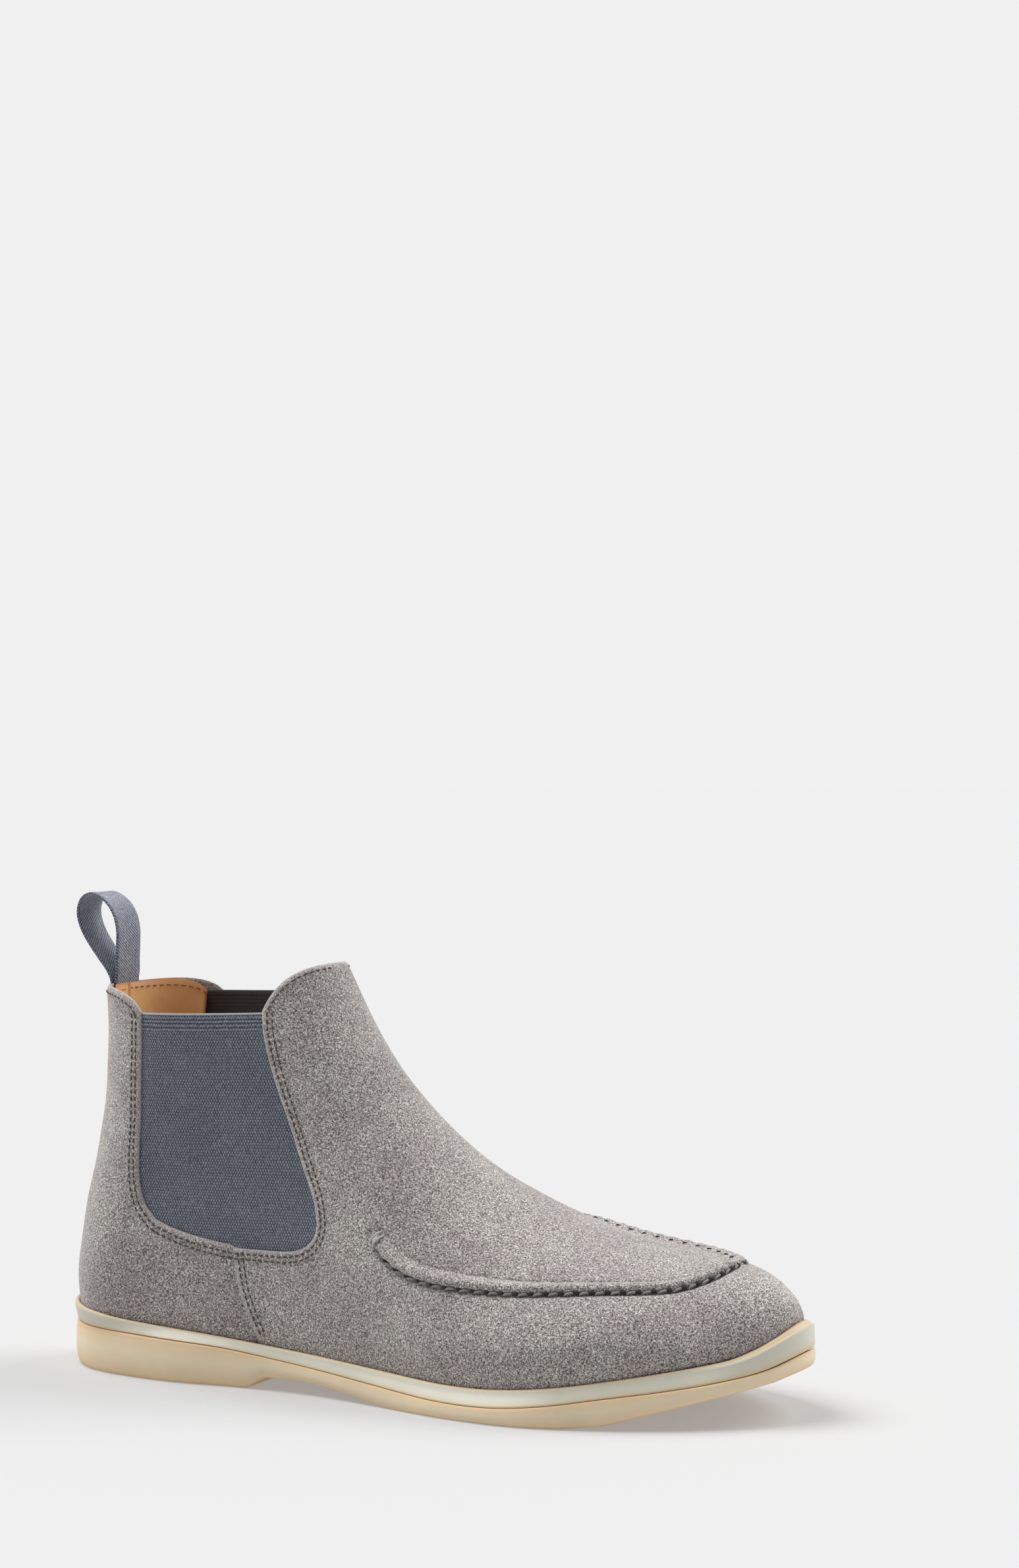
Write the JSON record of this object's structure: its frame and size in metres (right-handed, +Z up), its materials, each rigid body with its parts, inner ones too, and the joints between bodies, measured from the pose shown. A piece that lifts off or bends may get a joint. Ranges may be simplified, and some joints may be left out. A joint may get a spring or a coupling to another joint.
{
  "type": "chelsea boot",
  "caption": "Low suede chelsea boot for the right foot, with a raised apron seam, elastic side gores, a heel pull loop and a two-band flat rubber sole.",
  "frame": {"origin": "middle of the sole's length and width, on the ground", "axes": "+X towards the toe along the boot's length, +Y towards the inner (medial) side, +Z up"},
  "size_m": [0.3, 0.1095, 0.1816],
  "materials": {
    "cream_rubber": "matte moulded rubber, cream",
    "ivory_rubber": "matte moulded rubber, pale grey ivory",
    "cork": "pressed cork sheet",
    "spring_steel": "bare spring steel",
    "fibre_board": "compressed fibre board",
    "foam": "open-cell foam",
    "lining_leather": "smooth vegetable-tan leather",
    "suede": "grey suede with a short nap",
    "thread": "twisted grey thread",
    "stiffener": "thermoplastic toe stiffener",
    "elastic": "ribbed elastic webbing, blue grey",
    "cotton_tape": "plain cotton tape",
    "webbing": "twill webbing, slate blue grey"
  },
  "bodies": {
    "root": {"outsole": "cream_rubber", "midsole": "ivory_rubber", "cork_filler": "cork", "shank": "spring_steel", "insole_board": "fibre_board", "footbed": "foam", "sock_liner": "lining_leather", "vamp": "suede", "apron_seam": "suede", "apron_stitches": "thread", "apron_bar_tacks": "thread", "toe_puff": "stiffener", "vamp_lining": "lining_leather", "quarter_lateral": "suede", "quarter_medial": "suede", "gore_lateral": "elastic", "gore_medial": "elastic", "quarter_lining_lateral": "lining_leather", "quarter_lining_medial": "lining_leather", "heel_counter": "stiffener", "back_seam_tape": "cotton_tape", "pull_loop_tails": "webbing"},
    "loop": {"pull_loop": "webbing"}
  },
  "joints": [
    {"name": "loop_bend", "type": "hinge", "parent": "root", "child": "loop", "pos_m": [-0.1329, 0.0024, 0.1479], "axis": [0, 1, 0], "range_deg": [-60, 60], "stiffness_Nm_per_rad": 0.02}
  ]
}
